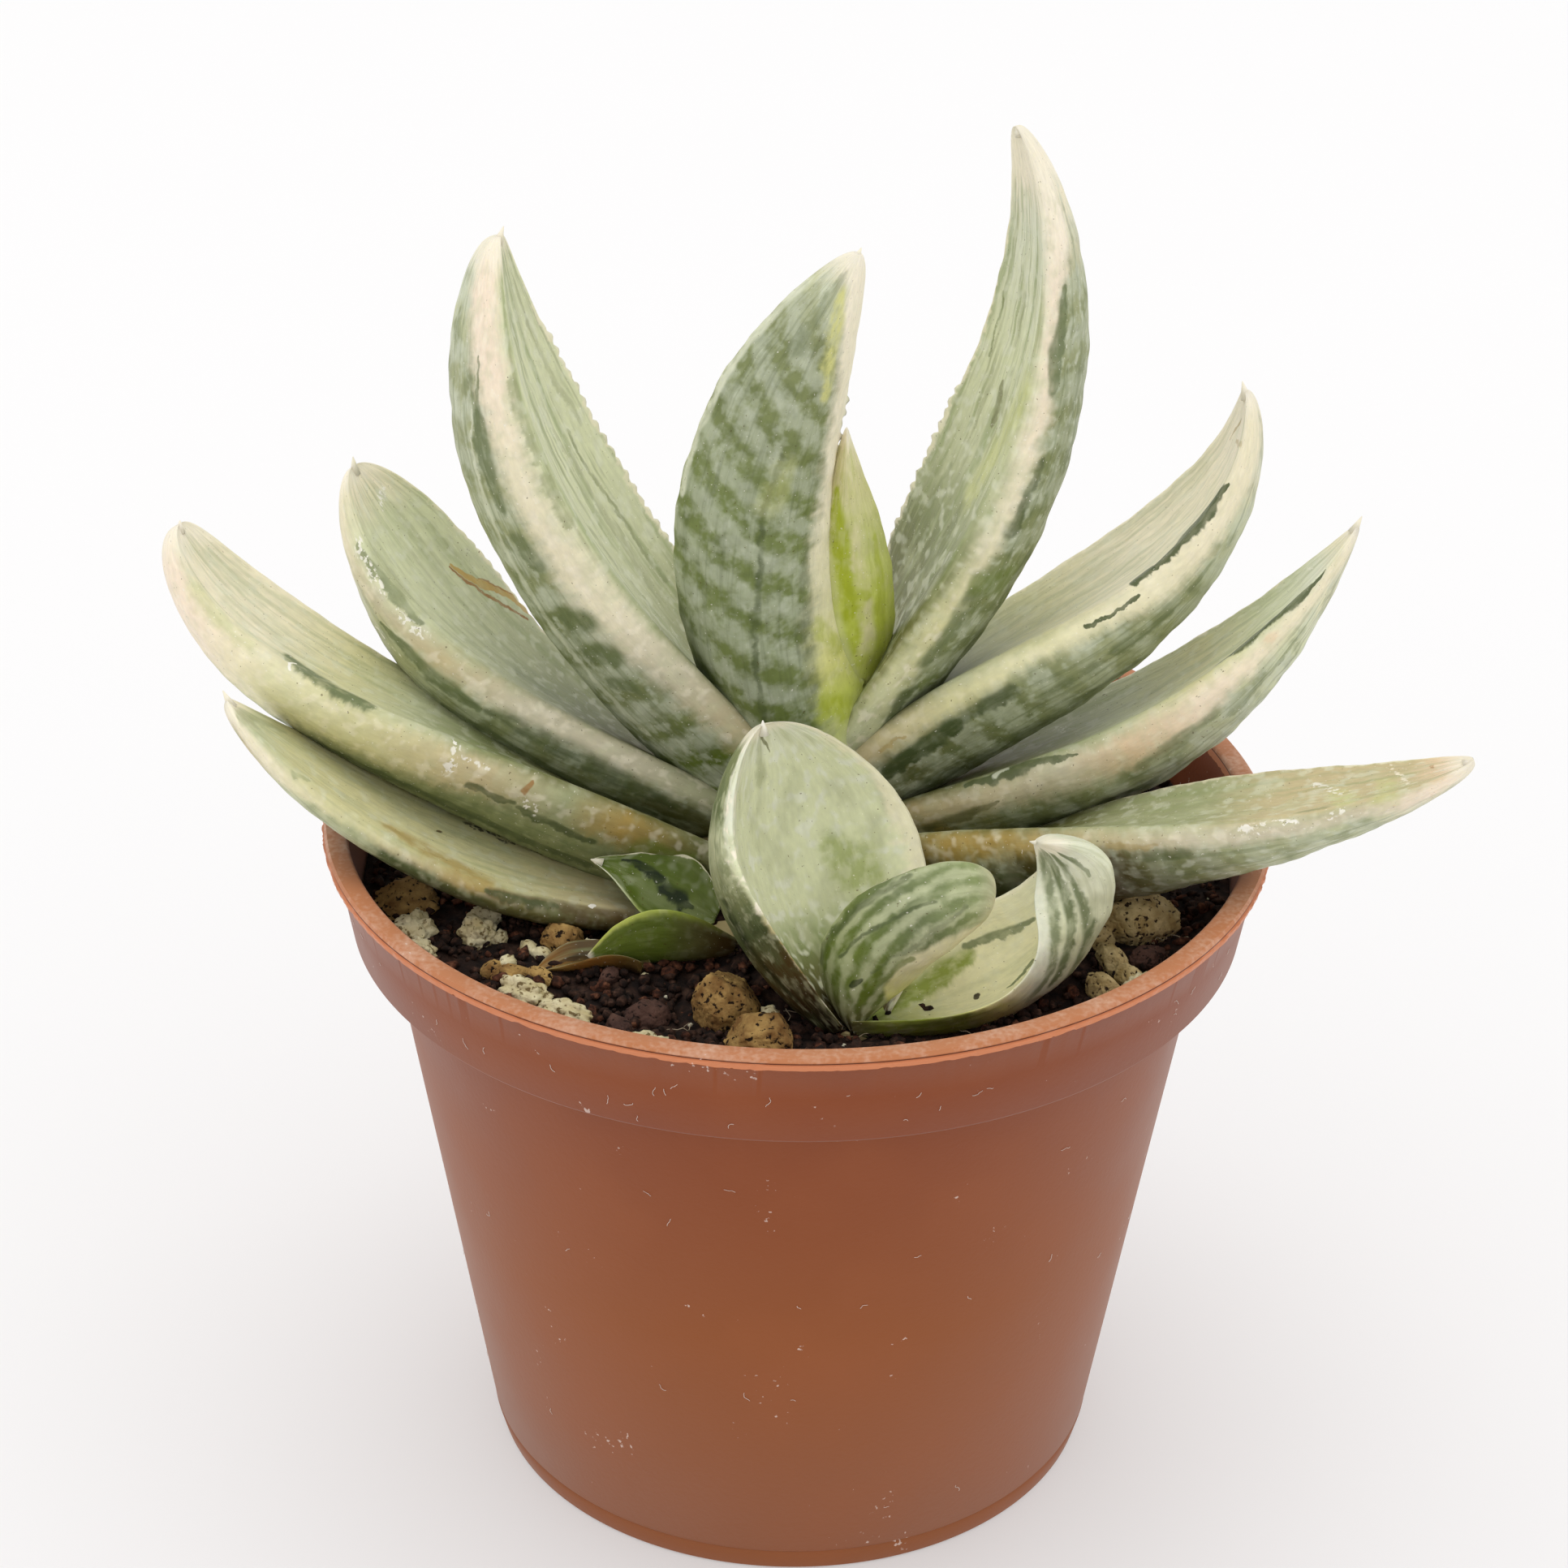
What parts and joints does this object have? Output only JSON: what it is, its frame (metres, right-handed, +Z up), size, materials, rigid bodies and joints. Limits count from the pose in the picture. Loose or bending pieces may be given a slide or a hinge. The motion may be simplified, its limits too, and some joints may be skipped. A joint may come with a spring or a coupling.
{
  "type": "potted gasteria",
  "caption": "Variegated gasteria with thick tongue-shaped leaves in two ranks and small offsets, growing in gritty soil in a tapered plastic nursery pot.",
  "frame": {"origin": "centre of the pot's flat underside", "axes": "+Z up along the pot's axis, the plant's front towards -Y, the ranks of leaves along -X and +X"},
  "size_m": [0.1135, 0.085, 0.1235],
  "materials": {
    "terracotta_plastic": "semi-matte terracotta brown plastic",
    "soil": "dark peat with perlite and pumice grains",
    "pale_leaf": "satin pale grey-green leaf with cream margins",
    "mottled_leaf": "satin green leaf with crosswise pale mottling",
    "young_leaf": "satin yellow-green young leaf",
    "dark_leaf": "satin dark green leaf with pale margins",
    "dry_leaf": "dry brown leaf",
    "stem": "pale fleshy stem"
  },
  "bodies": {
    "root": {"pot": "terracotta_plastic", "soil": "soil", "crown": "stem", "offset_stem": "stem", "small_offset_stem": "stem", "leaf_left_1": "pale_leaf", "leaf_left_2": "pale_leaf", "leaf_left_3": "pale_leaf", "leaf_left_4": "pale_leaf", "leaf_right_1": "pale_leaf", "leaf_right_2": "pale_leaf", "leaf_right_3": "pale_leaf", "leaf_right_4": "pale_leaf", "leaf_centre": "mottled_leaf", "leaf_young": "young_leaf", "offset_leaf_back": "pale_leaf", "offset_leaf_middle": "mottled_leaf", "offset_leaf_front": "mottled_leaf", "small_offset_leaf_upper": "dark_leaf", "small_offset_leaf_lower": "dark_leaf", "small_offset_leaf_dry": "dry_leaf"}
  },
  "joints": []
}
